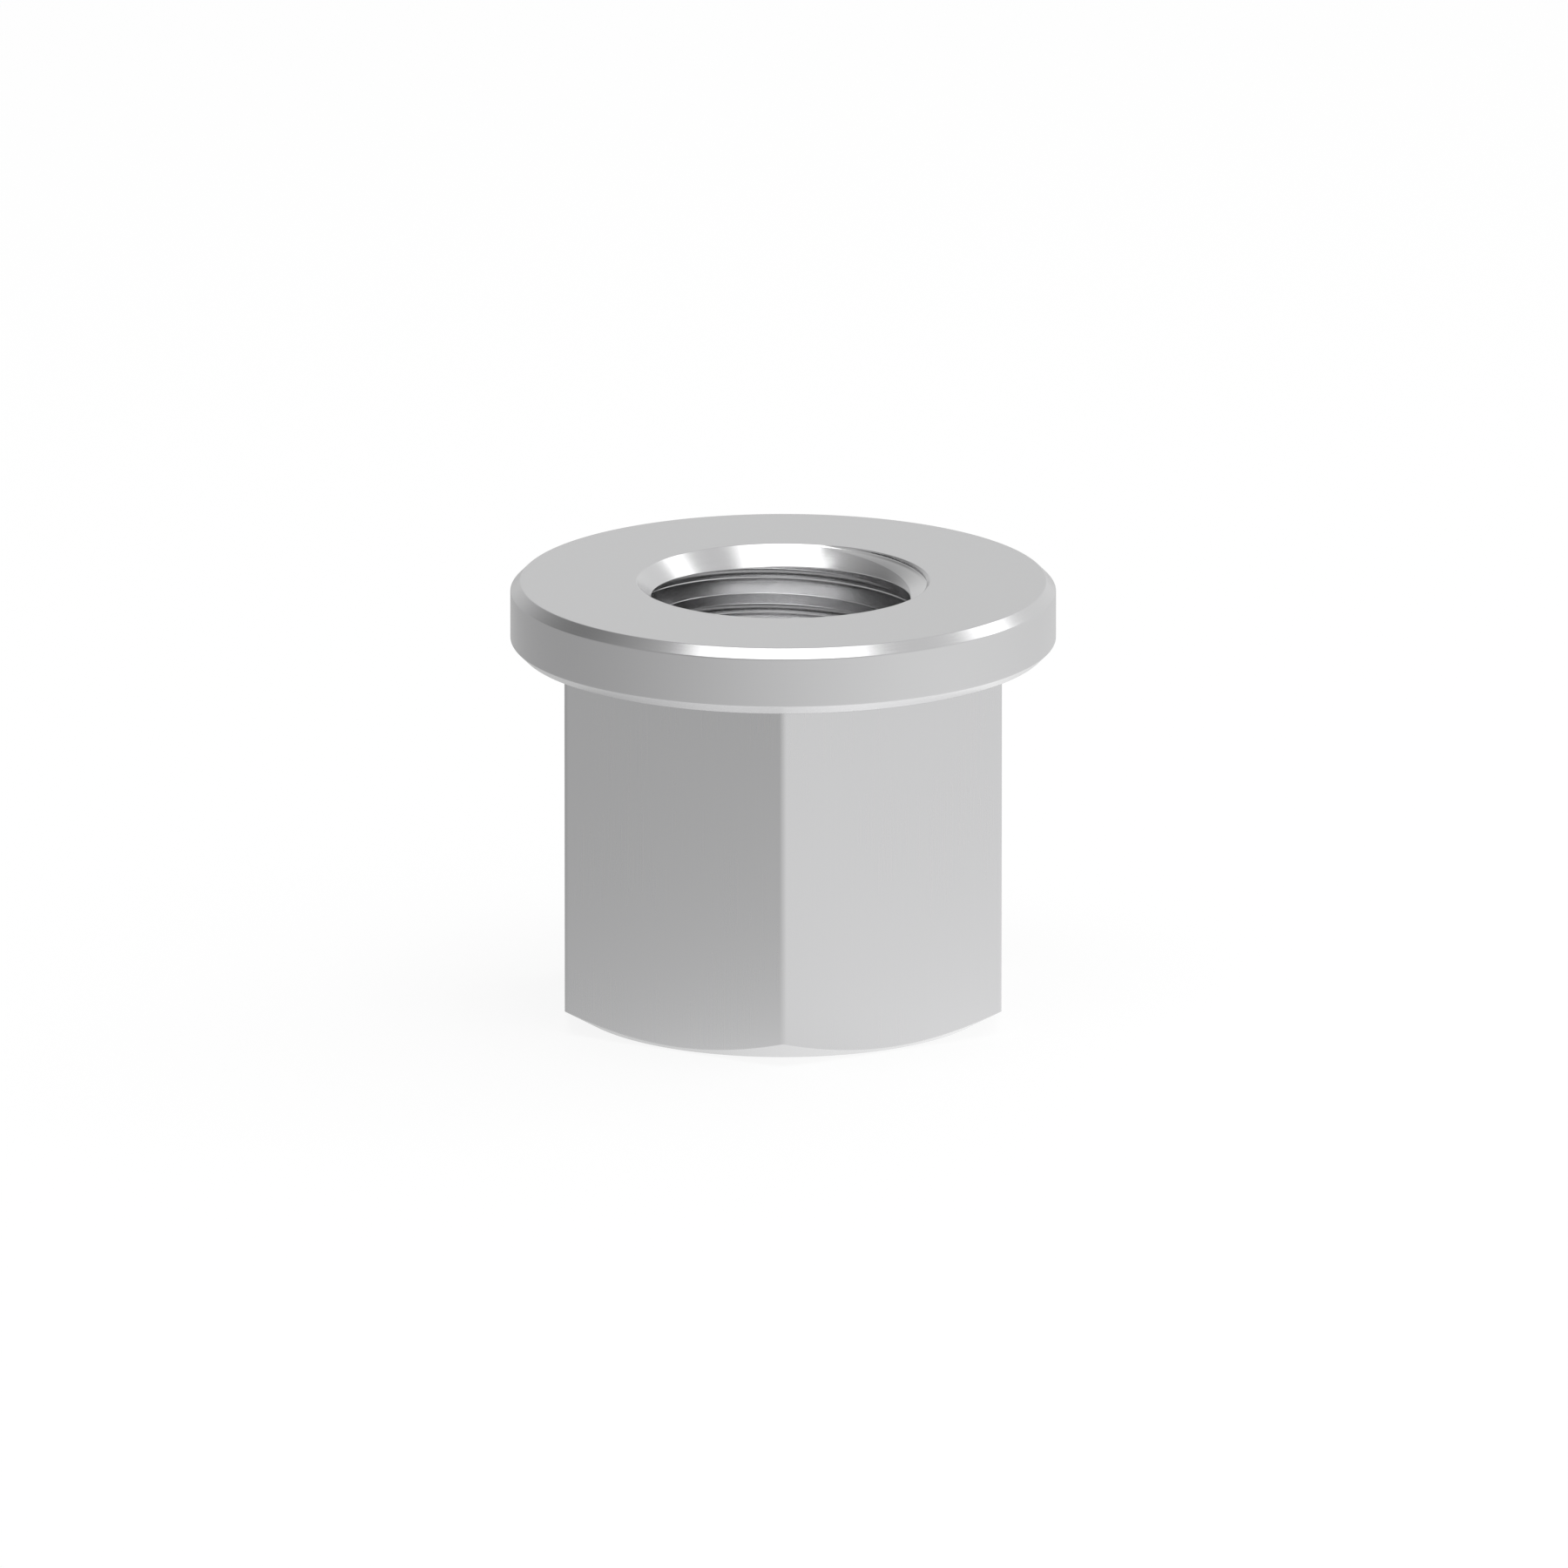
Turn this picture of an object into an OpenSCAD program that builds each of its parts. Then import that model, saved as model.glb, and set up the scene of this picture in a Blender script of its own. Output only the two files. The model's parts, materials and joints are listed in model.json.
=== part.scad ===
// Collar nut: a tall hexagon nut turned from hexagon bar, with a round collar at its bearing end.
// It stands on its hexagon end, with the collar on top. The origin is the centre of the end face.
// All lengths are in millimetres and all angles in degrees.

/* [Nut] */
// Overall height, from the hexagon's end face to the collar's bearing face
nut_h = 36; // [18:0.5:60]

/* [Thread] */
// Nominal diameter of the thread
thread_d = 24; // [12:1:27]
// Pitch of the thread
thread_pitch = 3; // [1:0.25:4]
// How much wider than the thread the countersink is where it meets the face, at both ends
countersink_oversize = 0.2; // [0:0.1:3]
// Full angle of the countersink
countersink_angle = 90; // [60:1:120]

/* [Hexagon] */
// Width across the flats
hex_flats = 36; // [32:0.5:38]
// Radius of the bar's six corners
hex_corner_r = 0.6; // [0.2:0.1:2]
// Distance from a flat to the rim of the end face, taken off by the end chamfer
hex_chamfer_inset = 0.7; // [0.1:0.1:3]
// Angle of the end chamfer, measured from the end face
hex_chamfer_angle = 30; // [15:1:45]

/* [Collar] */
// Diameter of the collar
collar_d = 45; // [44:0.5:60]
// Thickness of the collar
collar_h = 5.6; // [3:0.1:12]
// Width of the 45 degree chamfer around the bearing face
collar_top_chamfer = 0.8; // [0.2:0.1:1.5]
// Width of the 45 degree chamfer around the collar's underside
collar_low_chamfer = 0.8; // [0.2:0.1:1.5]

/* [Hidden] */
$fn = 96;

// The tapping drill of a metric thread is narrower than the thread by one pitch
tap_drill_r = (thread_d - thread_pitch) / 2;

countersink_r = (thread_d + countersink_oversize) / 2;
countersink_slope = tan(countersink_angle / 2);
countersink_depth = (countersink_r - tap_drill_r) / countersink_slope;

// The corner arcs have their centres on a circle, at the angles of the hexagon's points
corner_centre_r = (hex_flats / 2 - hex_corner_r) / cos(30);
corner_angles = [for (i = [0:5]) 30 + 60 * i];

collar_r = collar_d / 2;
collar_z = nut_h - collar_h;

// How far a cutter runs past the face that it opens, and an envelope past what it trims
overrun = 1;

hex_face_r = hex_flats / 2 - hex_chamfer_inset;
envelope_r = corner_centre_r + hex_corner_r + overrun;
envelope_rise = (envelope_r - hex_face_r) * tan(hex_chamfer_angle);

// The point at a distance and an angle from the axis
function polar(r, a) = [r * cos(a), r * sin(a)];

// The bar's section: six flats joined by round corners, with flats facing +X and -X
module hex_section() {
    polygon([for (a = corner_angles, side = [-30, 30])
        polar(corner_centre_r, a) + polar(hex_corner_r, a + side)]);
    for (a = corner_angles)
        translate(polar(corner_centre_r, a)) circle(r = hex_corner_r);
}

// Envelope of the end chamfer: a cone that widens from the end face and trims the six corners
module end_chamfer_envelope() {
    rotate_extrude()
        polygon([
            [0, 0],
            [hex_face_r, 0],
            [envelope_r, envelope_rise],
            [envelope_r, collar_z],
            [0, collar_z],
        ]);
}

// The spanner hexagon, from the end face up to the underside of the collar
module hexagon() {
    intersection() {
        linear_extrude(collar_z) hex_section();
        end_chamfer_envelope();
    }
}

// The round collar, chamfered around the bearing face and around its underside
module collar() {
    rotate_extrude()
        polygon([
            [0, collar_z],
            [collar_r - collar_low_chamfer, collar_z],
            [collar_r, collar_z + collar_low_chamfer],
            [collar_r, nut_h - collar_top_chamfer],
            [collar_r - collar_top_chamfer, nut_h],
            [0, nut_h],
        ]);
}

// The bore as the tapping drill leaves it, which is the thread's minor diameter
module bore() {
    translate([0, 0, -overrun])
        cylinder(r = tap_drill_r, h = nut_h + 2 * overrun);
}

// A countersink that opens upwards, with its rim at z = 0 and its cone carried on past the face
module countersink() {
    translate([0, 0, -countersink_depth])
        cylinder(
            r1 = tap_drill_r,
            r2 = countersink_r + overrun * countersink_slope,
            h = countersink_depth + overrun
        );
}

module collar_nut() {
    color("silver")
        difference() {
            union() {
                hexagon();
                collar();
            }
            bore();
            translate([0, 0, nut_h]) countersink();
            mirror([0, 0, 1]) countersink();
        }
}

collar_nut();
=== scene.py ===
# %% [markdown]
# # A collar nut
#
# A collar nut is a tall hexagon nut with a round collar at its clamping end. It is turned from
# hexagon bar: the lathe leaves the collar standing, bevels the edges and cuts the thread, and
# the six flats stay as the bar came from the mill. This lesson makes it as one closed surface.
# Every point of that surface has an angle around the axis and a place on the nut's outline, so
# the whole nut is a grid of two numbers.

# %% Load the solid
import json
import math

import bmesh
import bpy
import numpy as np
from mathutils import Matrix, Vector


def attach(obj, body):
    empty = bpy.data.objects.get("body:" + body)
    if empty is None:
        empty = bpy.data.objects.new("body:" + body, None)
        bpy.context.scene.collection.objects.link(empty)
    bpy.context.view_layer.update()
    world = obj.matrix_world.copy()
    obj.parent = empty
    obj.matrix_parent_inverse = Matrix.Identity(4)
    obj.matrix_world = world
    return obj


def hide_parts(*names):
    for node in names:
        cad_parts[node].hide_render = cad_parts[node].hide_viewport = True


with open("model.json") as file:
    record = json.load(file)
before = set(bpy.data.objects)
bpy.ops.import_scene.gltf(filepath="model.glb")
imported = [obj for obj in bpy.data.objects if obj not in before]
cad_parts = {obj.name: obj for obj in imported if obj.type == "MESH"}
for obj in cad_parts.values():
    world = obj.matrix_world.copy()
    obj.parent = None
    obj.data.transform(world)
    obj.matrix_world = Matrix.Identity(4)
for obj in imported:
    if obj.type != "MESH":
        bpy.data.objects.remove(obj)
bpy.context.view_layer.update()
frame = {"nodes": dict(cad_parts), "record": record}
scene = bpy.context.scene
scene.view_settings.view_transform = "Standard"
print("solid nodes:", sorted(frame["nodes"]))

# %% [markdown]
# ## The sizes
#
# The solid is the master: it says how big the nut is. Its sizes could be typed in again, but
# then two files would have to agree by hand. So they are read off the solid's own corners, as a
# maker reads a sample with a calliper: largest radius, highest point, and so on. The bore's
# radius and length come from the record. Lengths are in millimetres until the mesh is built,
# and two of them that differ by less than SAME count as equal.

# %% Measure the solid
NODE = "collar_nut"
MM = 0.001
SAME = 0.02

solid = frame["nodes"][NODE].data
places = np.empty(3 * len(solid.vertices), np.float32)
solid.vertices.foreach_get("co", places)
x, y, z = places.reshape(-1, 3).T / MM
r = np.hypot(x, y)

nut_h = z.max()
collar_r = r.max()
rim_low, rim_high = z[r > collar_r - SAME].min(), z[r > collar_r - SAME].max()
mouth_r, face_r = r[z > nut_h - SAME].min(), r[z > nut_h - SAME].max()
end_r = r[z < SAME].max()

shank = z < nut_h / 2
flat_r = abs(x[shank]).max()
underside = (r > r[shank].max() + SAME) & (z < rim_low - SAME)
under_r, under_z = r[underside].max(), z[underside].min()

thread = next(m for m in frame["record"]["mounts"] if m["name"] == "thread")["dims"]
minor_r = thread["r_mm"]
sink_depth = (nut_h - thread["length_mm"]) / 2
sink_slope = (mouth_r - minor_r) / sink_depth
print(f"height {nut_h:.2f}, collar {2 * collar_r:.2f}, across flats {2 * flat_r:.2f}")
print(f"bore {2 * minor_r:.2f}, countersink {2 * mouth_r:.2f} wide and {sink_depth:.2f} deep")

# %% [markdown]
# ## The camera
#
# The photograph was taken from far away with a long lens: edges that are parallel on the nut
# stay parallel in the picture. An orthographic camera would do that too, but a very long lens
# also works for views from other sides. The lens sets how far back the camera stands, so that
# the picture is as wide at the nut as it is in the photograph.

# %% Set up the camera
LENS, SENSOR = 1200.0, 36.0
PICTURE_W = 129.4
LOOK_AT = (0.07, 0.0, 18.64)
ELEVATION = math.radians(15)
CLIP_REACH = 3.0

camera = bpy.data.objects.new("camera", bpy.data.cameras.new("camera"))
scene.collection.objects.link(camera)
camera.data.lens, camera.data.sensor_width = LENS, SENSOR
stand_off = LENS / SENSOR * PICTURE_W * MM
towards = Vector((0, -math.cos(ELEVATION), math.sin(ELEVATION)))
camera.location = Vector(LOOK_AT) * MM + towards * stand_off
camera.rotation_euler = (math.pi / 2 - ELEVATION, 0, 0)
camera.data.clip_end = CLIP_REACH * stand_off
scene.camera = camera
print(f"camera stands {stand_off:.2f} m away")

# %% [markdown]
# ## Around the axis
#
# The first number of the grid is the angle. Evenly spaced meridians would cut across the small
# round corners of the hexagon. So they stand close together around each corner and run evenly
# along the flats. The last one lies on the first, a full turn later.

# %% Place the meridians
TURN = 2 * math.pi
SIDES = 6
SIXTH = TURN / SIDES
HEX_CORNER_R = 0.6
CORNER_STEPS, FLAT_STEPS = 4, 30

corner_centre_r = (flat_r - HEX_CORNER_R) / math.cos(SIXTH / 2)
corner_half = math.atan2(
    HEX_CORNER_R * math.sin(SIXTH / 2), corner_centre_r + HEX_CORNER_R * math.cos(SIXTH / 2)
)

sector = np.concatenate([
    np.linspace(-corner_half, corner_half, CORNER_STEPS, endpoint=False),
    np.linspace(corner_half, SIXTH - corner_half, FLAT_STEPS, endpoint=False),
])
theta = (SIXTH / 2 + SIXTH * np.arange(SIDES)[:, None] + sector).ravel()
theta = np.append(theta, theta[0] + TURN)


def hexagon_radius(angle):
    """Distance from the axis to the bar's skin. On a flat it is the flat's distance over the
    cosine of the angle from the flat's middle. On a corner it is where a ray from the axis
    leaves the corner's circle."""
    from_corner = angle % SIXTH - SIXTH / 2
    on_flat = flat_r / np.cos(SIXTH / 2 - abs(from_corner))
    across = corner_centre_r * np.sin(from_corner)
    on_corner = corner_centre_r * np.cos(from_corner)
    on_corner = on_corner + np.sqrt(np.maximum(HEX_CORNER_R**2 - across**2, 0))
    return np.where(abs(from_corner) < corner_half, on_corner, on_flat)


hex_r = hexagon_radius(theta)
print(f"{len(theta)} meridians, hexagon radius {hex_r.min():.2f} to {hex_r.max():.2f}")

# %% [markdown]
# ## The thread
#
# A thread could be swept along a helix and cut out with a boolean, which leaves ragged edges
# where the helix runs out through the countersink. Here the bore is a height field instead: for
# each angle and depth, how far is the wall from the axis? The thread gives one answer, the
# countersink another, and the wall is at the larger one, because each tool only takes metal
# away. A soft maximum rounds the edge where two tools meet, as a real edge is rounded. The sizes
# follow the metric rule: the drill is one pitch narrower than the thread, and the pitch line lies
# inside the thread by three eighths of the height that a sharp triangular ridge would have.

# %% Describe the wall of the bore
THREAD_D = 24.0
TAP_OVERSIZE = 0.05
FLANK_ANGLE = math.radians(60)
PITCH_LINE_SHARE = 3 / 8
FIRST_CREST, BACK = 1.32, 0.25
CREST_BLEND, ROOT_BLEND, SINK_BLEND = 0.04, 0.22, 0.06

pitch = THREAD_D - 2 * minor_r
root_r = THREAD_D / 2 + TAP_OVERSIZE
flank_slope = math.tan(FLANK_ANGLE)
pitch_r = THREAD_D / 2 - PITCH_LINE_SHARE * flank_slope * pitch / 2
crest_half = pitch / 4 - (pitch_r - minor_r) / flank_slope
root_off = pitch / 4 + (root_r - pitch_r) / flank_slope


def soft_max(a, b, blend):
    """The larger of a and b. Where they differ by less than the blend, a parabola that touches
    both takes the place of the kink."""
    return np.maximum(a, b) + np.maximum(blend - abs(a - b), 0) ** 2 / (4 * blend)


def crest_depth(angle):
    """Depth of the thread's first crest under the bearing face: its depth at the back of the
    nut, a quarter turn from the x axis, less one pitch for each turn from there. The depth
    falls as the angle grows, which makes a right-hand thread."""
    return FIRST_CREST - pitch * (angle / TURN - BACK)


def cone_radius(depth):
    """Radius of the nearer countersink: its mouth, less its slope times the distance from its
    own face."""
    return mouth_r - sink_slope * np.minimum(depth, nut_h - depth)


def thread_radius(angle, depth):
    """Radius of the thread alone. The distance to the nearest crest, measured along the axis,
    climbs a 60 degree flank. On the pitch line, a quarter of a pitch from the crest, ridge and
    groove are equally wide. The drill cuts the ridge off flat, and the tap the groove."""
    turns_off = (depth - crest_depth(angle)) / pitch
    from_crest = abs(turns_off - np.round(turns_off)) * pitch
    flank = pitch_r + flank_slope * (from_crest - pitch / 4)
    groove = -soft_max(-flank, -root_r, ROOT_BLEND)
    return soft_max(groove, minor_r, CREST_BLEND)


def bore_radius(angle, depth):
    """Radius of the finished wall: the larger of thread and countersink."""
    return soft_max(thread_radius(angle, depth), cone_radius(depth), SINK_BLEND)


print(f"thread {THREAD_D:.0f} x {pitch:.2f}, crest flat {2 * crest_half:.2f}")

# %% [markdown]
# The second number of the grid is a place on the outline. In the bore it is a depth, and the
# rows must lie where the wall bends, or the edges come out jagged. So each row follows a bend
# around the helix: two edges of each crest, two of each root. Where the countersink has cut a
# crest's edge away, its row slides along the flank to the place where flank and cone meet. A
# few rows beside each bend carry the rounding. Sorting the depths at each angle keeps the grid
# in order, and rows that leave the nut pile up at its mouth, where they are merged later.

# %% Lay rows along the bends
EDGE_BREAK = 0.07
SPREAD = np.array([-1.0, -0.4, 0.0, 0.4, 1.0])
ABOVE_ZERO = 1e-9

turns = np.arange(-1, math.ceil(nut_h / pitch) + 1)


def slide_to_cone(crest, root):
    """Depth of a crest's edge, moved along its flank towards the root by the share of the flank
    that the countersink has cut away."""
    cut = np.maximum(cone_radius(crest) - minor_r, 0)
    left = np.maximum(root_r - cone_radius(root), 0)
    share = cut / np.maximum(cut + left, ABOVE_ZERO)
    return crest + (root - crest) * share


def beside(bend, reach):
    """Rows next to a bend, within reach of it on both sides."""
    return (bend[:, None] + reach * SPREAD[:, None]).reshape(-1, len(theta))


crests = crest_depth(theta) + pitch * turns[:, None]
rows = []
for side in (-1, 1):
    roots = crests + side * root_off
    edges = slide_to_cone(crests + side * crest_half, roots)
    rows += [beside(edges, CREST_BLEND / flank_slope), beside(roots, ROOT_BLEND / flank_slope)]
for end in (sink_depth, nut_h - sink_depth):
    rows.append(beside(np.full((1, len(theta)), end), SINK_BLEND / sink_slope))
depth = np.sort(np.clip(np.concatenate(rows), EDGE_BREAK, nut_h - EDGE_BREAK), axis=0)


def bore_at(angle, further):
    """Radius and height of the bore's rows at some angles, all of them a little further down.
    The radius is that of the wall, and the height is what the depth leaves of the nut's."""
    deeper = depth + further
    return np.stack([bore_radius(angle, deeper), nut_h - deeper], axis=-1)


print(f"{len(turns)} turns, {len(depth)} rows in the bore")

# %% [markdown]
# ## The outside
#
# Outside, the outline has nine corners, from the lower mouth of the bore around the hexagon and
# the collar to the upper mouth. Only the hexagon's corners change with the angle: the end
# chamfer is a cone, so it climbs higher where the hexagon is wider, and each flat ends in a
# curved edge. No machined edge is perfectly sharp, and the thin bright line along it is what
# makes metal look real. So each corner becomes a short curve. A bevel modifier could do that,
# but here the curve is part of the same grid, so the rows stay in order.

# %% Round the corners of the outside
CHAMFER_SLOPE = math.tan(math.radians(30))
CORNER_ROWS = 4
INNER_FILLET = 0.25
LONGEST_REACH = 0.45
CORNERS = 9
FLAT_FOOT, FLAT_HEAD, UNDERSIDE_RIM = 2, 3, 4

corner_reach = np.full((CORNERS, 1, 1), EDGE_BREAK)
corner_reach[FLAT_HEAD] = INNER_FILLET


def rounded(outline, further):
    """Each inner corner of an outline as a parabola: it leaves the line before the corner,
    heads for the corner and joins the line after it. It starts at the corner's reach, or on a
    short line at a share of its length, and further moves every row a little along it."""
    corner = outline[1:-1]
    starts = []
    for other in (outline[:-2], outline[2:]):
        way = other - corner
        length = np.linalg.norm(way, axis=-1, keepdims=True)
        starts.append(corner + way * np.minimum(corner_reach / length, LONGEST_REACH))
    t = np.linspace(0, 1, CORNER_ROWS)[:, None, None] + further
    first, last = starts[0][:, None], starts[1][:, None]
    curve = (1 - t) ** 2 * first + 2 * t * (1 - t) * corner[:, None] + t**2 * last
    return curve.reshape(CORNERS * CORNER_ROWS, -1, 2)


def outside_at(angle, further):
    """Radius and height of the outside's rows at some angles: the last point of the bore, the
    nine corners and the first point of the bore, with the corners rounded."""
    hex_r = hexagon_radius(angle)
    outline = [
        (bore_radius(angle, nut_h - EDGE_BREAK), EDGE_BREAK),
        (mouth_r, 0),
        (end_r, 0),
        (hex_r, (hex_r - end_r) * CHAMFER_SLOPE),
        (hex_r, under_z),
        (under_r, under_z),
        (collar_r, rim_low),
        (collar_r, rim_high),
        (face_r, nut_h),
        (mouth_r, nut_h),
        (bore_radius(angle, EDGE_BREAK), nut_h - EDGE_BREAK),
    ]
    outline = [np.stack(np.broadcast_arrays(*pair, angle)[:2], axis=-1) for pair in outline]
    return rounded(np.stack(outline), further)


print(f"{CORNERS} corners outside, {CORNER_ROWS} rows each")

# %% [markdown]
# ## One closed mesh
#
# The two parts of the outline make one closed loop, and the loop at every angle makes a grid
# that is closed both ways, like a ring. Turning angle and radius into x and y gives the points.
# Each face belongs to one of four finishes: the lathe's, the bar's, the tap's, and the lathe's
# again on the bevel under the collar, with a lighter steel painted on as light for its shade.
# Its row says which, apart from the bore, where the tap has left its finish wherever the thread
# lies deeper than the countersink.

# %% Join the grid and sort its faces by finish
def loop_at(angle, further=0.0):
    """Radius and height of the whole loop at some angles. Its last row is its first again."""
    bore = bore_at(angle, further)
    return np.concatenate([bore, outside_at(angle, further), bore[:1]])


def upright(radial, tangential, axial):
    """Vectors in x, y and z from their parts along the radius, the turn and the axis. The radius
    points along the cosine and the sine of the angle, and the turn a quarter turn ahead."""
    cos, sin = np.cos(theta), np.sin(theta)
    x, y = radial * cos - tangential * sin, radial * sin + tangential * cos
    return np.stack([x, y, axial], axis=-1)


loop = loop_at(theta)
n_rows, n_columns = loop.shape[:2]
points = upright(loop[..., 0], 0.0, loop[..., 1])
index = np.arange(n_rows * n_columns).reshape(n_rows, n_columns)
quads = np.stack(
    [index[:-1, :-1], index[:-1, 1:], index[1:, 1:], index[1:, :-1]], axis=-1
).reshape(-1, 4)

# The fourth finish is the lathe's with a lighter steel: painted light on the bevel in the collar's
# shade.
TURNED, DRAWN, TAPPED, PAINTED_LIGHT_BEVEL = range(4)


def stretch_after(corner):
    """Row of the straight stretch that follows a corner of the outline: the one after all the
    rows that the corners up to it have taken for their curves."""
    return len(depth) + (corner + 1) * CORNER_ROWS - 1


finish = np.full((n_rows - 1, n_columns - 1), TURNED, np.int32)
middle = (depth[1:] + depth[:-1]) / 2
in_thread = thread_radius(theta, middle) > cone_radius(middle)
finish[: len(depth) - 1][in_thread[:, :-1]] = TAPPED
finish[stretch_after(FLAT_FOOT)] = DRAWN
# The bevel under the collar takes the lighter steel, painted light for the shade it lies in.
finish[stretch_after(UNDERSIDE_RIM)] = PAINTED_LIGHT_BEVEL
print(f"{len(quads)} faces: {np.bincount(finish.ravel())} turned, drawn, tapped and bevelled")

# %% [markdown]
# A tool leaves fine lines, and the finishes have to know which way they run. So the mesh gets a
# map of its own. Its first number is the angle, counted in turns. Its second is a distance in
# millimetres across the lines: along the outline where the lathe has cut, and along the axis but
# climbing with the helix where the tap has cut. Unwrapping by hand could do it, but the grid has
# both numbers already.

# %% Map the tool's path
step = np.linalg.norm(np.diff(loop[len(depth):], axis=0), axis=-1)
to_mouth = np.concatenate([np.cumsum(step[::-1], axis=0)[::-1], 0 * step[:1]])
lathe_way = np.concatenate([depth, to_mouth])
tap_way = np.concatenate([depth - crest_depth(theta), to_mouth])
turn = np.broadcast_to(theta / TURN, lathe_way.shape)

across = np.where(
    finish.reshape(-1, 1) == TAPPED, tap_way.ravel()[quads], lathe_way.ravel()[quads]
)
uv = np.stack([turn.ravel()[quads], across], axis=-1)
print(f"outline {to_mouth.max():.1f} mm long outside, thread {tap_way[: len(depth)].max():.1f} mm")

# %% [markdown]
# Blender shades a smooth surface by the direction that each point faces. It could average the
# faces around the point, but where narrow faces meet wide ones the average leans, and flat metal
# looks bent. The formulas know better. Nudge the angle and see which way the point moves, then
# nudge its place on the outline and see again. Both ways lie in the surface, so their cross
# product stands straight up from it.

# %% Find the way each point faces
NUDGE = 1e-4
around = loop_at(theta + NUDGE) - loop_at(theta - NUDGE)
along = loop_at(theta, NUDGE) - loop_at(theta, -NUDGE)
sideways = 2 * NUDGE * loop[..., 0]
facing = upright(
    sideways * along[..., 1],
    around[..., 1] * along[..., 0] - around[..., 0] * along[..., 1],
    -sideways * along[..., 0],
)
facing /= np.linalg.norm(facing, axis=-1, keepdims=True)
print(f"points face from {facing[..., 2].min():.2f} to {facing[..., 2].max():.2f} upwards")

# %% [markdown]
# Up to here there are only arrays. Put into a mesh as they are, they would leave seams: the last
# meridian lies on the first without being joined to it, and a seam can show as a crack. So points
# that share a place are welded, also the rows that have piled up at the mouths. The weld numbers
# the points anew. So each point takes the way that it faces along with it, as an attribute.

# %% Build the mesh and close its seams
NUT = "collar_nut_steel"
MERGE = 1e-7

mesh = bpy.data.meshes.new(NUT)
mesh.from_pydata(points.reshape(-1, 3) * MM, [], quads)
mesh.uv_layers.new(name="turning").data.foreach_set("uv", uv.astype(np.float32).ravel())
mesh.polygons.foreach_set("material_index", finish.ravel())
mesh.polygons.foreach_set("use_smooth", np.ones(len(quads), bool))
kept = mesh.attributes.new("facing", "FLOAT_VECTOR", "POINT")
kept.data.foreach_set("vector", facing.astype(np.float32).ravel())

weld = bmesh.new()
weld.from_mesh(mesh)
bmesh.ops.remove_doubles(weld, verts=weld.verts, dist=MERGE)
open_edges = sum(not e.is_manifold for e in weld.edges)
volume = weld.calc_volume(signed=True) / MM**3
weld.to_mesh(mesh)
weld.free()

kept = mesh.attributes["facing"]
welded_facing = np.empty(3 * len(mesh.vertices), np.float32)
kept.data.foreach_get("vector", welded_facing)
mesh.attributes.remove(kept)
mesh.normals_split_custom_set_from_vertices(welded_facing.reshape(-1, 3))

nut = bpy.data.objects.new(NUT, mesh)
scene.collection.objects.link(nut)
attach(nut, "root")
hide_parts(NODE)
print(f"{len(mesh.polygons)} faces, {open_edges} open edges, {volume:.0f} cubic mm")

# %% [markdown]
# ## The steel
#
# Bright steel is bare metal, so its colour is the colour of its mirror image: a neutral grey
# that gives back about six tenths of the light. How sharp that image is depends on the tool. The
# lathe leaves a satin face, the drawn bar is a little duller, and the tap burnishes the flanks
# of the thread. The thread and the bevel under the collar lie in the nut's own shade, so they
# get a lighter steel: painted light that stands in for the light their shade takes away.
# One material could not tell these apart, so there are four. What they share is that no finish
# is quite even, and that is a node group: noise that lightens, darkens and roughens the metal by
# a little around its plain values.

# %% Wire up nodes
def add(tree, kind, *sources, **options):
    """A node with its options set and its inputs filled in order. A source is another node, one
    of its outputs, a plain value, or None where the input keeps its own."""
    made = tree.nodes.new("ShaderNode" + kind)
    for option, value in options.items():
        setattr(made, option, value)
    for place, source in zip(made.inputs, sources):
        if isinstance(source, bpy.types.Node):
            source = source.outputs[0]
        if isinstance(source, bpy.types.NodeSocket):
            tree.links.new(source, place)
        elif source is not None:
            place.default_value = source
    return made


def shader_group(name, takes, gives):
    """An empty node group with named sockets, its entry's outputs and its exit's inputs."""
    group = bpy.data.node_groups.new(name, "ShaderNodeTree")
    for title, kind in takes.items():
        group.interface.new_socket(title, in_out="INPUT", socket_type="NodeSocket" + kind)
    for title, kind in gives.items():
        group.interface.new_socket(title, in_out="OUTPUT", socket_type="NodeSocket" + kind)
    entry, leave = (group.nodes.new("NodeGroup" + way) for way in ("Input", "Output"))
    return group, entry.outputs, leave.inputs


print("helpers for nodes:", add.__name__, "and", shader_group.__name__)

# %% Group the unevenness that every finish has
NOISE_SCALE, NOISE_DETAIL, NOISE_MEAN = 1.0, 3.0, 0.5

metal = {"Colour": "Color", "Roughness": "Float"}
uneven, taken, given = shader_group(
    "uneven finish",
    {"Place": "Vector", **metal, "Mottle": "Float", "Blur": "Float"},
    {**metal, "Height": "Float"},
)
noise = add(uneven, "TexNoise", taken["Place"], None, NOISE_SCALE, NOISE_DETAIL)
swing = add(uneven, "Math", noise, NOISE_MEAN, operation="SUBTRACT")
tone = add(uneven, "Math", swing, taken["Mottle"], 1.0, operation="MULTIPLY_ADD")
colour = add(uneven, "VectorMath", taken["Colour"], None, None, tone, operation="SCALE")
rough = add(uneven, "Math", swing, taken["Blur"], taken["Roughness"], operation="MULTIPLY_ADD")
uneven.links.new(colour.outputs[0], given["Colour"])
uneven.links.new(rough.outputs[0], given["Roughness"])
uneven.links.new(swing.outputs[0], given["Height"])
print("node group:", uneven.name, "gives", [s.name for s in given if s.name])

# %% [markdown]
# Each finish places that group twice. The first time it reads the nut's own coordinates, at the
# size of a fingertip: a film of oil, and hands. The second time it reads the map, squeezed into
# thin lines that run the way the tool went. On the lathe's faces they are rings, on the bar's
# flats they run lengthwise, and in the thread they follow the helix. There the map jumps by one
# pitch after each turn, so the distance is first wound onto a circle that is one pitch around.

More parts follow.
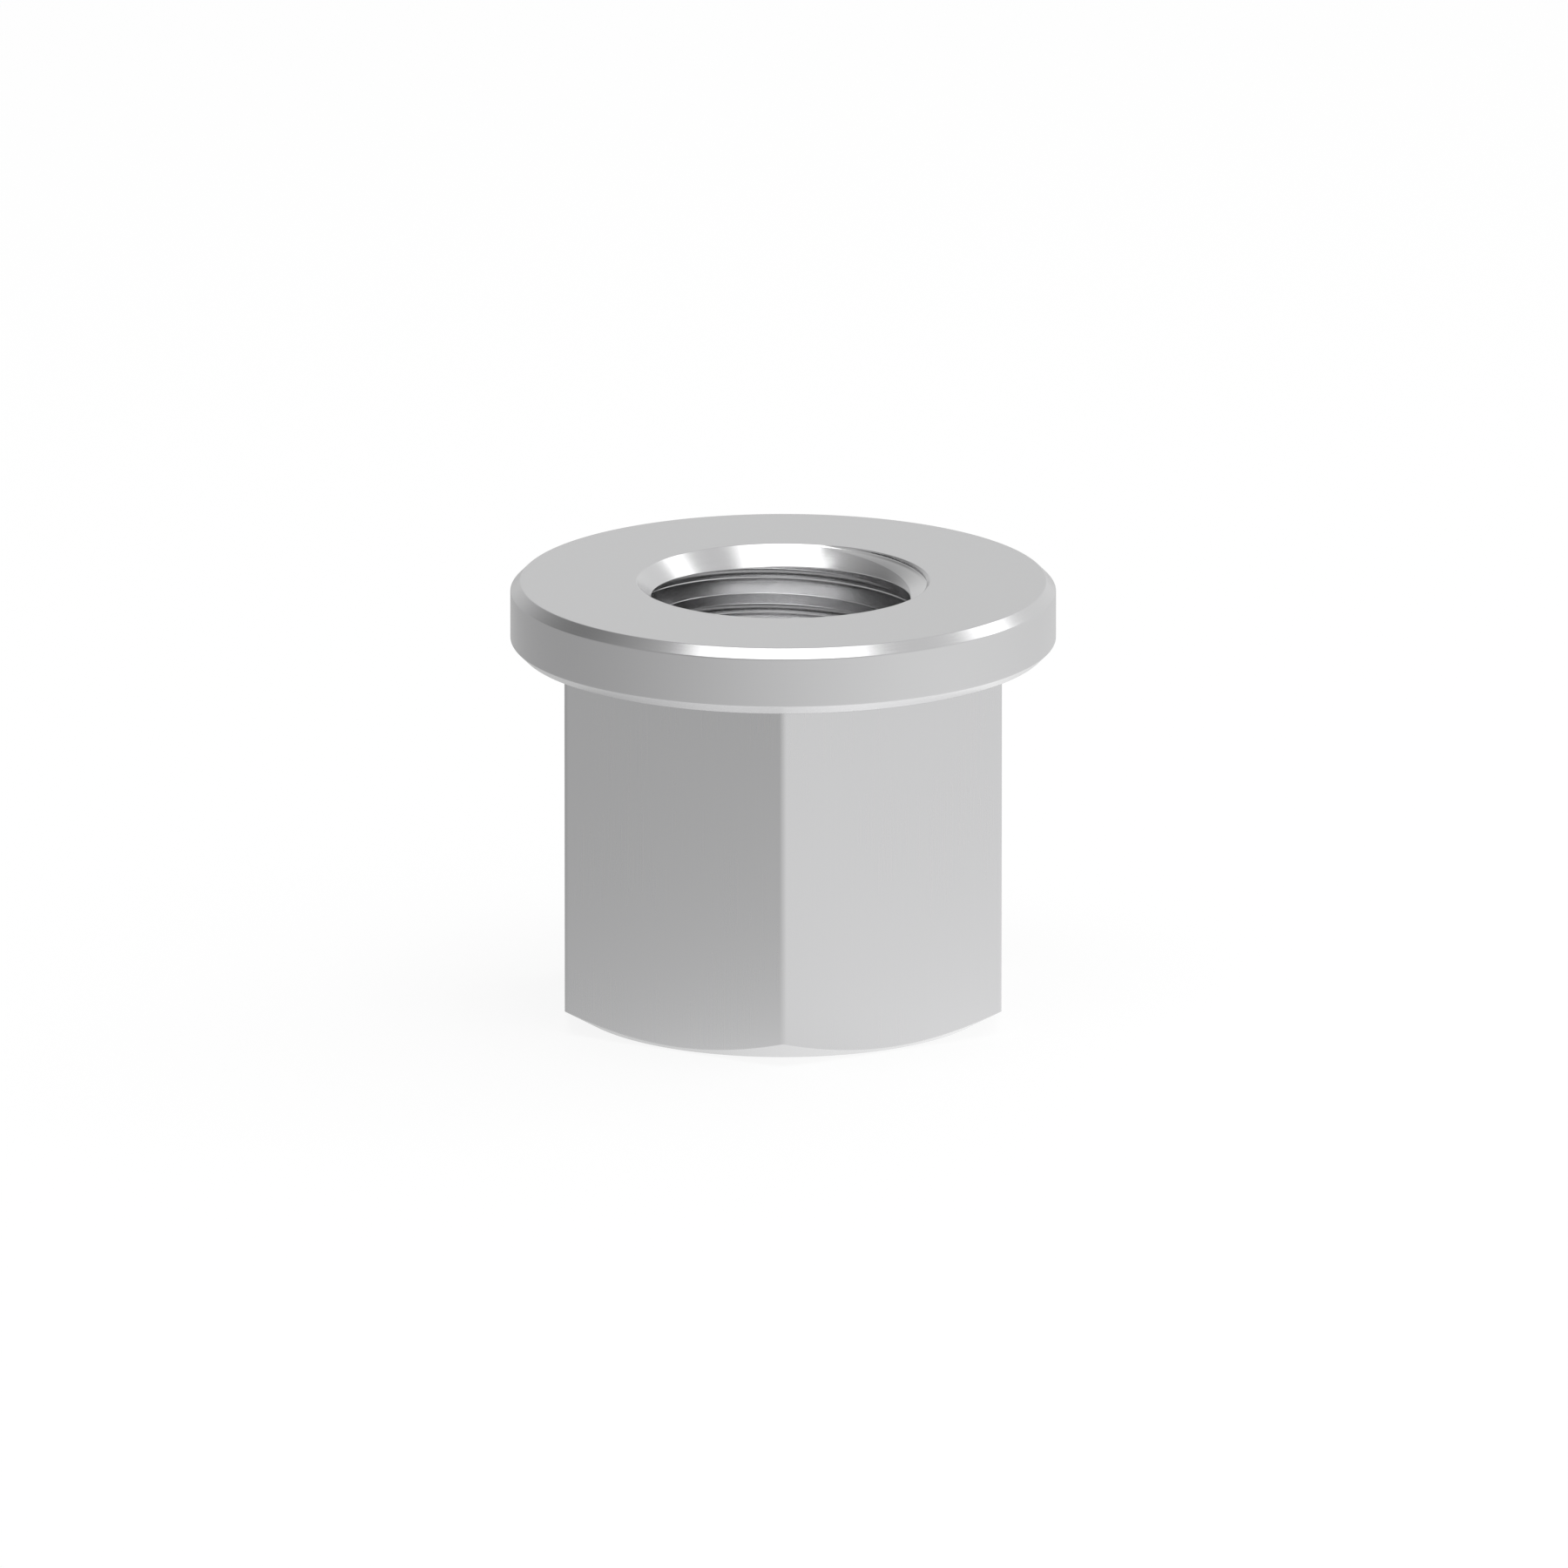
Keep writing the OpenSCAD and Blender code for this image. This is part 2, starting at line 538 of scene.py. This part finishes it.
# %% Lay the tool's lines
LINES_PER_MM = 6.0
LINE_DRIFT = 0.05
lines_round = LINES_PER_MM * SIDES * 2 * flat_r * math.tan(SIXTH / 2)


def tool_map(tree):
    """The turn and the distance across the lines, from the nut's own map."""
    return add(tree, "SeparateXYZ", add(tree, "UVMap", uv_map="turning")).outputs


def ring_lines(tree):
    """Rings: the place depends on the distance along the outline alone."""
    lines = add(tree, "Math", tool_map(tree)["Y"], LINES_PER_MM, operation="MULTIPLY")
    return add(tree, "CombineXYZ", None, lines)


def bar_lines(tree):
    """Lengthwise lines: the place runs fast across the flats and drifts slowly along them."""
    way = tool_map(tree)
    lines = add(tree, "Math", way["X"], lines_round, operation="MULTIPLY")
    drift = add(tree, "Math", way["Y"], LINE_DRIFT, operation="MULTIPLY")
    return add(tree, "CombineXYZ", lines, drift)


def helix_lines(tree):
    """Helical lines: the distance becomes an angle, one turn for each pitch, and the place is
    a point on a circle as long as the lines of one pitch."""
    angle = add(tree, "Math", tool_map(tree)["Y"], TURN / pitch, operation="MULTIPLY")
    circle = [add(tree, "Math", angle, operation=wave) for wave in ("COSINE", "SINE")]
    circle = add(tree, "CombineXYZ", *circle)
    radius = LINES_PER_MM * pitch / TURN
    return add(tree, "VectorMath", circle, None, None, radius, operation="SCALE")


print(f"{LINES_PER_MM:.0f} lines for each mm, {lines_round:.0f} around the flats")

# %% [markdown]
# A finish is then one shader and a handful of numbers: how much light the metal gives back, how
# blurred its mirror image is, how far both stray, and how deep the lines are. Each could be wired
# up by hand. One function builds all four, so that they differ only in their numbers and in the
# way their lines run.

# %% Make the four finishes
STEEL = (0.60, 0.60, 0.605, 1.0)
# A lighter steel painted on as light: it brightens the thread and the under-collar bevel, which
# lie in the nut's own shade.
PAINTED_LIGHT_STEEL = (0.77, 0.77, 0.775, 1.0)
FINGERTIP = 0.012


def steel_finish(name, lines, colour, roughness, mottle, blur, line_height):
    """Bare steel: the plain colour and roughness, first unsettled by the film and then by the
    tool's lines, whose height in metres also tilts the surface."""
    material = bpy.data.materials.new(name)
    material.use_nodes = True
    tree = material.node_tree
    shader = tree.nodes["Principled BSDF"]
    shader.inputs["Metallic"].default_value = 1.0
    own = add(tree, "TexCoord").outputs["Object"]
    own = add(tree, "VectorMath", own, None, None, 1 / FINGERTIP, operation="SCALE")
    film = add(tree, "Group", own, colour, roughness, mottle, blur, node_tree=uneven).outputs
    filmed = film["Colour"], film["Roughness"]
    marks = add(tree, "Group", lines(tree), *filmed, mottle, blur, node_tree=uneven).outputs
    tree.links.new(marks["Colour"], shader.inputs["Base Color"])
    tree.links.new(marks["Roughness"], shader.inputs["Roughness"])
    bump = add(tree, "Bump")
    bump.inputs["Distance"].default_value = line_height
    tree.links.new(marks["Height"], bump.inputs["Height"])
    tree.links.new(bump.outputs["Normal"], shader.inputs["Normal"])
    mesh.materials.append(material)


lathe = {"roughness": 0.24, "mottle": 0.05, "blur": 0.06, "line_height": 2e-6}
mill = {"roughness": 0.28, "mottle": 0.02, "blur": 0.04, "line_height": 6e-7}
tap = {"roughness": 0.19, "mottle": 0.03, "blur": 0.03, "line_height": 5e-7}
steel_finish("turned_steel", ring_lines, STEEL, **lathe)
steel_finish("drawn_steel", bar_lines, STEEL, **mill)
# The thread keeps the tap's own lines and roughness, but its lighter steel is painted light.
steel_finish("tapped_steel_painted_light", helix_lines, PAINTED_LIGHT_STEEL, **tap)
# The bevel's finish is the lathe's; only its lighter steel differs, and that is painted light.
steel_finish("turned_steel_painted_light", ring_lines, PAINTED_LIGHT_STEEL, **lathe)
print("finishes:", [m.name for m in mesh.materials])

# %% [markdown]
# ## The studio
#
# A shiny nut shows the room more than itself, so the room is half of the work. In the photograph
# it is bright on the right and dim on the left. A picture of a room could light the nut, but the
# grading is so smooth that one number gives it: how far a direction leans to the right, to the
# back and upwards. The world and the floor both use it, so it is a node group.

# %% Group the room's grading
graded, taken, given = shader_group(
    "graded room",
    {"Direction": "Vector", "Slope": "Vector", "Level": "Float"},
    {"Light": "Color"},
)
unit = add(graded, "VectorMath", taken["Direction"], operation="NORMALIZE")
lean = add(graded, "VectorMath", unit, taken["Slope"], operation="DOT_PRODUCT")
light = add(graded, "Math", lean.outputs["Value"], taken["Level"])
graded.links.new(light.outputs[0], given["Light"])
print("node group:", graded.name, "takes", [s.name for s in taken if s.name])

# %% [markdown]
# One corner of the room, behind on the left, is darker still, and draws the dark stroke on the
# collar's top bevel. A black card could do it, but it would stand in the way in other views. So
# a round patch is taken off the room's own light. It deepens towards its middle, and its edge is
# given as the cosine of the angle from there.

# %% Light the room
ROOM_LEVEL = 0.76
ROOM_SLOPE = (0.25, 0.09, -0.12)
DARK_CORNER = (-0.67, 0.43, 0.60)
DARK_DROP, DARK_EDGE = 0.32, 0.78

world = bpy.data.worlds.new("studio")
scene.world = world
world.use_nodes = True
tree = world.node_tree
direction = add(tree, "TexCoord").outputs["Generated"]
room = add(tree, "Group", direction, ROOM_SLOPE, ROOM_LEVEL, node_tree=graded)
near = add(tree, "VectorMath", direction, DARK_CORNER, operation="DOT_PRODUCT").outputs["Value"]
inside = add(tree, "MapRange", near, DARK_EDGE, 1.0, 0.0, 1.0)
deep = add(tree, "Math", inside, inside, operation="MULTIPLY")
dimmed = add(tree, "Math", deep, -DARK_DROP, room, operation="MULTIPLY_ADD")
tree.links.new(dimmed.outputs[0], tree.nodes["Background"].inputs["Color"])
left, right = (ROOM_LEVEL + side * ROOM_SLOPE[0] for side in (-1, 1))
print(f"room from {left:.2f} on the left to {right:.2f} on the right")

# %% [markdown]
# ## The light table
#
# The floor is a light table, as product photographers use: a sheet that glows, so that it stays
# white and takes only a faint shadow. The camera sees it white. A mirror sees its grading, with
# a halo around the foot of the nut, and inside the bore a stronger glow that lights the thread
# from below. Light Path tells the two kinds of ray apart. The halo's light is divided by one plus
# the square of the distance, counted in halo radii.

# %% Mix the light that a mirror sees
TABLE_LEVEL = 0.745
TABLE_SLOPE = (0.25, -0.075, 0.0)
HALO_LIGHT, HALO_RADIUS = 0.18, 0.045
BORE_GLOW = 2.5

table = bpy.data.materials.new("light_table")
table.use_nodes = True
tree = table.node_tree
tree.nodes.remove(tree.nodes["Principled BSDF"])
spot = add(tree, "TexCoord").outputs["Object"]
from_axis = add(tree, "VectorMath", spot, operation="LENGTH").outputs["Value"]
far_out = add(tree, "Math", from_axis, HALO_RADIUS, operation="DIVIDE")
squared = add(tree, "Math", far_out, far_out, 1.0, operation="MULTIPLY_ADD")
halo = add(tree, "Math", HALO_LIGHT, squared, operation="DIVIDE")
in_bore = add(tree, "MapRange", from_axis, minor_r * MM, mouth_r * MM, BORE_GLOW, 0.0)
mirrored = add(tree, "Group", spot, TABLE_SLOPE, TABLE_LEVEL, node_tree=graded)
for extra in (halo, in_bore):
    mirrored = add(tree, "Math", mirrored, extra)
mirrored = add(tree, "Emission", mirrored)
print(f"table {TABLE_LEVEL:.2f}, {TABLE_LEVEL + HALO_LIGHT:.2f} under the nut")

# %% [markdown]
# The camera meets a sheet that is almost white by its own glow, with a little paper on it that
# takes the shadow. Paper alone could be white too, but only under so much light that the nut would
# be washed out. Light of any other kind meets plain paper.

# %% Lay the table under the nut
TABLE_GLOW, TABLE_PAPER = 0.84, 0.2
TABLE_HALF = 3.0


def grey(value):
    """A neutral colour: the same value for red, green and blue."""
    return (value, value, value, 1.0)


glow = add(tree, "Emission", grey(1.0), TABLE_GLOW)
white = add(tree, "AddShader", glow, add(tree, "BsdfDiffuse", grey(TABLE_PAPER)))
path = add(tree, "LightPath").outputs
dull = add(tree, "BsdfDiffuse", grey(TABLE_GLOW))
plain = add(tree, "MixShader", path["Is Camera Ray"], dull, white)
in_mirror = add(
    tree, "Math", path["Is Glossy Ray"], path["Is Transmission Ray"], operation="MAXIMUM"
)
surface = add(tree, "MixShader", in_mirror, plain, mirrored)
tree.links.new(surface.outputs[0], tree.nodes["Material Output"].inputs["Surface"])

sheet = bpy.data.meshes.new("floor")
ends = [(-1, -1, 0), (1, -1, 0), (1, 1, 0), (-1, 1, 0)]
sheet.from_pydata(TABLE_HALF * np.array(ends), [], [(0, 1, 2, 3)])
sheet.materials.append(table)
floor = bpy.data.objects.new("floor", sheet)
scene.collection.objects.link(floor)
print(f"floor {2 * TABLE_HALF:.0f} m square")

# %% [markdown]
# ## The lamps
#
# A wide softbox hangs overhead, a little in front, where the bevel and the countersink mirror it
# as a white stroke. It is shallow from front to back, or the flanks of the thread would mirror
# it too when the nut is seen from above. A small panel behind on the right makes the second
# stroke. The third lamp lies on the table under a honeycomb grid, which lets its light out only
# near straight up, so it shows in faces that look down and hardly in the upright flats.

# %% Hang the lamps
AIM = Vector((0, 0, nut_h * MM))
LAMP_DISTANCE = 0.6
GRID_LIFT = 0.0001
GRID_SPREAD = math.radians(98)


def softbox(name, direction, distance, size, radiance):
    """A rectangular lamp, in a direction from the collar and facing it. A lamp that shines into
    a half space gives pi times its radiance for each square metre."""
    data = bpy.data.lights.new(name, "AREA")
    data.shape = "RECTANGLE"
    data.size, data.size_y = size
    data.energy = radiance * math.pi * size[0] * size[1]
    lamp = bpy.data.objects.new(name, data)
    scene.collection.objects.link(lamp)
    way = Vector(direction).normalized()
    lamp.location = AIM + way * distance
    lamp.rotation_euler = way.to_track_quat("Z", "Y").to_euler()
    lamp.visible_camera = False
    print(f"{name}: {size[0]:.2f} x {size[1]:.2f} m, radiance {radiance}")
    return lamp


softbox("overhead", (-0.012, -0.225, 0.974), LAMP_DISTANCE, size=(0.52, 0.23), radiance=1.85)
softbox("right panel", (0.673, 0.389, 0.628), LAMP_DISTANCE, size=(0.15, 0.15), radiance=1.8)
grid = softbox("table grid", (0, 0, -1), AIM.z - GRID_LIFT, size=(0.4, 0.4), radiance=0.1)
grid.data.spread = GRID_SPREAD
